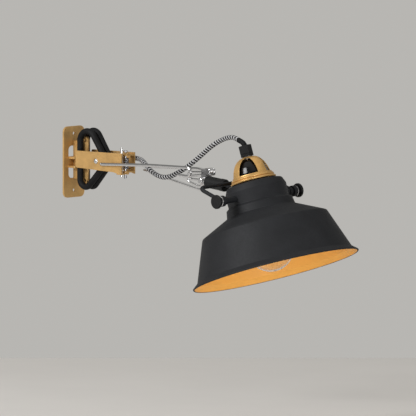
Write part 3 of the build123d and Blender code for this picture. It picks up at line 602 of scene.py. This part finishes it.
# %% [markdown]
# ## The lamp holder inside the dome
# The dome's windows show a glossy black holder that nearly fills the dome. It is a moulded body with a
# skirt, a narrow waist and a domed top, so it is spun from a profile like the shade is.

# %% The holder
HOLDER_LINE = [(19.3, 80.2), (19.3, 94.6), (17.0, 97.0), (17.0, 112.5), (20.4, 117.5), (20.9, 125.5),
               (18.6, 133.4), (14.0, 139.6), (8.6, 143.2), (5.2, 143.8)]
HOLDER_BENDS = [1.0, 1.2, 2.5, 3.0, 7.0, 8.0, 6.0, 3.0]
HOLDER_BORE = [(5.2, 140.0), (14.0, 107.0), (14.0, 80.2)]
bore = [Vector(p) for p in HOLDER_BORE]
holder_profile = bore[-1:] + round_corners(HOLDER_LINE, HOLDER_BENDS) + bore[:-1]
holder = spin_profile("holder_body", holder_profile, RIM_CENTRE, SHADE_UP, SHADE_OUT, SHADE_SIDE, steps=96)
holder.data.materials.append(finishes["gloss_black"])
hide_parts("lamp_holder")
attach(holder, "shade")
print("holder has", len(holder.data.polygons), "faces")

# %% [markdown]
# ## The cord gland
# A gland grips the cord on top of the dome. Its body has eight flats for a spanner and sharp edges at
# its flat top. Loops of eight corners are stacked along the axis, each at its own height and size, and
# a groove near the foot parts the nut from its base. A spun profile would lose the flats.

# %% The gland's eight flats
def stack_loops(name, levels, sides, turned):
    """Rings of corners, each at a height and with a distance from the axis to a flat."""
    points, faces = [], []
    for flat, height in levels:
        corner = flat / cos(pi / sides)
        for k in range(sides):
            a = 2 * pi * (k + turned) / sides
            points.append(RIM_CENTRE + (SHADE_OUT * cos(a) + SHADE_SIDE * sin(a)) * (corner * MM)
                          + SHADE_UP * (height * MM))
    rows = len(levels)
    for i in range(rows):
        on = (i + 1) % rows
        for k in range(sides):
            after = (k + 1) % sides
            faces.append((i * sides + k, i * sides + after, on * sides + after, on * sides + k))
    return make_piece(name, points, faces, smooth=False)


GLAND_LEVELS = [(5.1, 147.8), (7.5, 147.8), (8.0, 148.3), (8.0, 150.2), (7.6, 150.5), (7.6, 151.0),
                (8.0, 151.3), (8.0, 161.2), (7.6, 161.6), (3.3, 161.6), (3.3, 156.0), (5.1, 153.0)]
GLAND_FLATS = 8
gland = stack_loops("gland_body", GLAND_LEVELS, GLAND_FLATS, turned=0.5)
gland.data.materials.append(finishes["black_plastic"])
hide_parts("cord_gland", "gland_cap")
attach(gland, "shade")
print("gland has", len(gland.data.polygons), "faces")

# %% [markdown]
# A short rubber sleeve keeps the cord from kinking where it leaves the gland. It is only a little
# thicker than the cord, and bends over towards the wall. It follows one smooth spline, like the cord.

# %% The cord's sleeve
SLEEVE_RADIUS = 3.25
SLEEVE_START = (154.0, 158.0, 163.0)  # heights on the gland's axis
SLEEVE_END = [(303.6, -2.05, 44.4), (297.05, -2.13, 46.53)]
sleeve_route = [tuple(RIM_CENTRE / MM + SHADE_UP * height) for height in SLEEVE_START] + SLEEVE_END
sleeve = sweep_tube("sleeve_tube", cord_line(sleeve_route), SLEEVE_RADIUS * MM, sides=28)
sleeve.data.materials.append(finishes["black_rubber"])
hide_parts("cord_sleeve")
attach(sleeve, "shade")
print("sleeve has", len(sleeve.data.polygons), "faces")

# %% [markdown]
# ## Pieces carried over
# The plate, clamp, wires, swivel and yoke keep their exact frame shapes, since they are machined or bent
# metal. They only need their finishes, which the frame's own list of pieces names.

# %% Give each frame piece its finish
for part in frame["record"]["subparts"]:
    node = frame["nodes"][part["node"]]
    node.data.materials.clear()
    node.data.materials.append(finishes[part["material_slot"]])
print(len(frame["nodes"]), "frame pieces have a finish")

# %% [markdown]
# Punched and bent sheet has small rounded edges, and they catch light that a perfectly sharp edge
# doesn't. A Weld modifier joins the frame's split corners, and a narrow bevel rounds only the edges
# where two faces meet at a clear angle.

# %% Soften the sheet's edges
WELD_DISTANCE = 0.01
SOFT_EDGES = {
    "wall_plate": 0.35, "grip_tongue": 0.25, "near_jaw_strip": 0.25, "far_jaw_strip": 0.25,
    "near_loop_anchor": 0.4, "far_loop_anchor": 0.4, "near_strip_nut": 0.2, "far_strip_nut": 0.2,
    "tilt_nut": 0.3, "swivel_eye": 0.3,
}
for name, width in SOFT_EDGES.items():
    piece = frame["nodes"][name]
    weld = piece.modifiers.new("weld", "WELD")
    weld.merge_threshold = WELD_DISTANCE * MM
    soft = piece.modifiers.new("soft", "BEVEL")
    soft.width = width * MM
    soft.segments = 3
    soft.limit_method = "ANGLE"
    soft.angle_limit = radians(40.0)
print("softened", len(SOFT_EDGES), "frame pieces")

# %% [markdown]
# ## Small metal pieces
# A domed screw head with a slot holds each jaw strip, and five turns of wire bind the far handle's end
# to its clamp block. Both are too fine for the frame, but their glints give the metal its scale.

# %% Slotted screw heads
HEAD_RADIUS, HEAD_HEIGHT, HEAD_EDGE = 3.4, 2.3, 0.5
HEAD_CENTRE_HOLE = 0.3
FRAME_HEAD_HEIGHT = 1.9  # of the frame's own head, which stands on the strip
SLOT_WIDTH, SLOT_DEPTH, SLOT_REACH = 0.9, 0.9, 6.0
SLOT_TURN = 0.6
SLOT_EDGE = 0.08
BOX_FACES = [(3, 2, 1, 0), (4, 5, 6, 7), (0, 1, 5, 4), (1, 2, 6, 5), (2, 3, 7, 6), (3, 0, 4, 7)]


def box_corners(piece):
    return [piece.matrix_world @ Vector(c) for c in piece.bound_box]


def screw_head(name, centre, out, up, side):
    """A domed head with a straight slot, spun about its outward way."""
    angles = [pi / 2 * i / 10 for i in range(10)]
    dome_height = HEAD_HEIGHT - HEAD_EDGE
    arc = [Vector((HEAD_RADIUS * cos(a), HEAD_EDGE + dome_height * sin(a))) for a in angles]
    outline = [Vector((HEAD_CENTRE_HOLE, 0.0)), Vector((HEAD_RADIUS, 0.0))] + arc
    outline.append(Vector((HEAD_CENTRE_HOLE, HEAD_HEIGHT)))
    head = spin_profile(name, outline, centre, out, up, side, steps=48)
    half = SLOT_WIDTH / 2
    plan = ((-SLOT_REACH, -half), (SLOT_REACH, -half), (SLOT_REACH, half), (-SLOT_REACH, half))
    slot_corners = [centre + out * (height * MM) + up * (x * MM) + side * (y * MM)
                    for height in (HEAD_HEIGHT - SLOT_DEPTH, HEAD_HEIGHT + 1.0) for x, y in plan]
    punch(head, [make_piece("slot", slot_corners, BOX_FACES, smooth=False)], SLOT_EDGE)
    return head


slot_way = Vector((cos(SLOT_TURN), 0.0, sin(SLOT_TURN)))
slot_side = Vector((-sin(SLOT_TURN), 0.0, cos(SLOT_TURN)))
for side_name, body, way in (("near", "near_jaw", -1.0), ("far", "bracket", 1.0)):
    corners = box_corners(frame["nodes"][side_name + "_strip_screw"])
    middle = sum(corners, Vector()) / 8
    outer = max(c.y * way for c in corners) - FRAME_HEAD_HEIGHT * MM
    head = screw_head(side_name + "_screw_head", Vector((middle.x, outer * way, middle.z)),
                      Vector((0.0, way, 0.0)), slot_way, slot_side)
    head.data.materials.append(finishes["chrome"])
    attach(head, body)

# %% Wire wrapped round the clamp block
WRAP_TURNS = 5
WRAP_START = 8.9
WRAP_MIDDLE = Vector((230.0, 0.0, 0.9)) * MM
WRAP_HALF_WIDTH, WRAP_HALF_HEIGHT = 4.55, 4.15
WRAP_SQUARENESS = 0.55
WRAP_SWELL = 0.8
AROUND, RINGS_PER_TURN = 40, 12


def wrap_point(angle, y, swell):
    """A point on a rounded square about the clamp block."""
    x = abs(cos(angle)) ** WRAP_SQUARENESS * (WRAP_HALF_WIDTH * MM + swell)
    z = abs(sin(angle)) ** WRAP_SQUARENESS * (WRAP_HALF_HEIGHT * MM + swell)
    return WRAP_MIDDLE + Vector((x if cos(angle) >= 0 else -x, y, z if sin(angle) >= 0 else -z))


wrap_start = WRAP_START * MM
wrap_end = max(c.y for c in box_corners(frame["nodes"]["arm_clamp"])) - 0.2 * MM
wire_radius = (wrap_end - wrap_start) / WRAP_TURNS / 2
ring_count = WRAP_TURNS * RINGS_PER_TURN + 1
points, faces = [], []
for i in range(ring_count):
    coil = min(i // RINGS_PER_TURN, WRAP_TURNS - 1)
    phase = pi * (i - coil * RINGS_PER_TURN) / RINGS_PER_TURN
    y = wrap_start + wire_radius * (2 * coil + 1 - cos(phase))
    swell = wire_radius * WRAP_SWELL * sin(phase)
    points += [wrap_point(2 * pi * k / AROUND, y, swell) for k in range(AROUND)]
for i in range(ring_count - 1):
    for k in range(AROUND):
        on = (k + 1) % AROUND
        faces.append((i * AROUND + k, (i + 1) * AROUND + k, (i + 1) * AROUND + on, i * AROUND + on))
faces.append(tuple(range(AROUND)))
faces.append(tuple(range((ring_count - 1) * AROUND, ring_count * AROUND))[::-1])
wrap = make_piece("clamp_wrap", points, faces)
wrap.data.materials.append(finishes["chrome"])
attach(wrap, "bracket")
print("small metal pieces made")

# %% [markdown]
# ## Room and light
# A pale floor lies under the lamp. A large soft lamp at the upper left makes the broad highlights, a weaker
# one at the right opens the shadows, and a low one at the front lights the lining. Chrome needs something
# to mirror, so the room around it is softly graded: pale round the horizon, where it is also the backdrop,
# then darker, and bright on top.

# %% The floor
FLOOR_Z = -0.323
FLOOR_BACK, FLOOR_DEPTH, FLOOR_HALF = 0.86, 1.8, 0.95
FLOOR_COLOUR = (0.68, 0.66, 0.635)
FLOOR_SHADE = (0.66, 0.64, 0.616)
flat_back = Vector((sin(AZIMUTH), -cos(AZIMUTH), 0.0))
across = Vector((cos(AZIMUTH), sin(AZIMUTH), 0.0))
up = Vector((0, 0, 1))
floor_start = target - flat_back * FLOOR_BACK
floor_start.z = FLOOR_Z
floor_plan = ((-FLOOR_HALF, 0), (FLOOR_HALF, 0), (FLOOR_HALF, FLOOR_DEPTH), (-FLOOR_HALF, FLOOR_DEPTH))
floor = make_piece("floor", [floor_start + across * x + flat_back * y for x, y in floor_plan],
                   [(0, 3, 2, 1)], smooth=False)
plaster = Finish("floor_plaster", FLOOR_COLOUR, 0.9)
plaster_tone = plaster.between(plaster.noise(180.0), 0.0, 1.0)
plaster.colour_surface(plaster.blend_colours(plaster_tone, FLOOR_SHADE, FLOOR_COLOUR))
floor.data.materials.append(plaster.material)

# %% Lamps
LAMPS = [
    # name, place from the part, size in metres, power in watts
    ("key", -across * 1.9 + flat_back * 1.3 + up * 1.3, 1.1, 52.0),
    ("fill", across * 1.6 + flat_back * 1.2 + up * 0.5, 1.4, 4.5),
    ("low", flat_back * 1.5 + across * 0.5 - up * 0.15, 0.5, 6.8),
]
for name, place, size, power in LAMPS:
    data = bpy.data.lights.new(name, "AREA")
    data.shape = "DISK"
    data.size = size
    data.energy = power
    lamp = bpy.data.objects.new(name, data)
    lamp.location = target + place
    lamp.rotation_mode = "QUATERNION"
    lamp.rotation_quaternion = (-place).to_track_quat("-Z", "Y")
    bpy.context.scene.collection.objects.link(lamp)
print(len(LAMPS), "lamps made")

# %% The graded room
ROOM_SHADES = [(0.0, 0.55), (0.40, 0.80), (0.44, 0.955), (0.58, 0.955), (0.66, 0.42), (0.84, 0.42),
               (0.90, 1.5), (1.0, 1.5)]
ROOM_WARMTH = (1.0, 0.98, 0.935)
ROOM_STRENGTH = 0.5
world = bpy.data.worlds.new("room")
world.use_nodes = True
nodes, links = world.node_tree.nodes, world.node_tree.links
room = nodes["Background"]
way_out = nodes.new("ShaderNodeTexCoord")
heights = nodes.new("ShaderNodeSeparateXYZ")
raised = nodes.new("ShaderNodeMapRange")
raised.inputs["From Min"].default_value = -1.0
shades = nodes.new("ShaderNodeValToRGB")
links.new(way_out.outputs["Generated"], heights.inputs["Vector"])
links.new(heights.outputs["Z"], raised.inputs["Value"])
links.new(raised.outputs["Result"], shades.inputs["Fac"])
links.new(shades.outputs["Color"], room.inputs["Color"])
while len(shades.color_ramp.elements) < len(ROOM_SHADES):
    shades.color_ramp.elements.new(0.5)
for element, (height, shade_of_grey) in zip(shades.color_ramp.elements, ROOM_SHADES):
    element.position = height
    element.color = (*(shade_of_grey * tint for tint in ROOM_WARMTH), 1.0)
room.inputs["Strength"].default_value = ROOM_STRENGTH
bpy.context.scene.world = world
bpy.context.scene.view_settings.view_transform = "Standard"
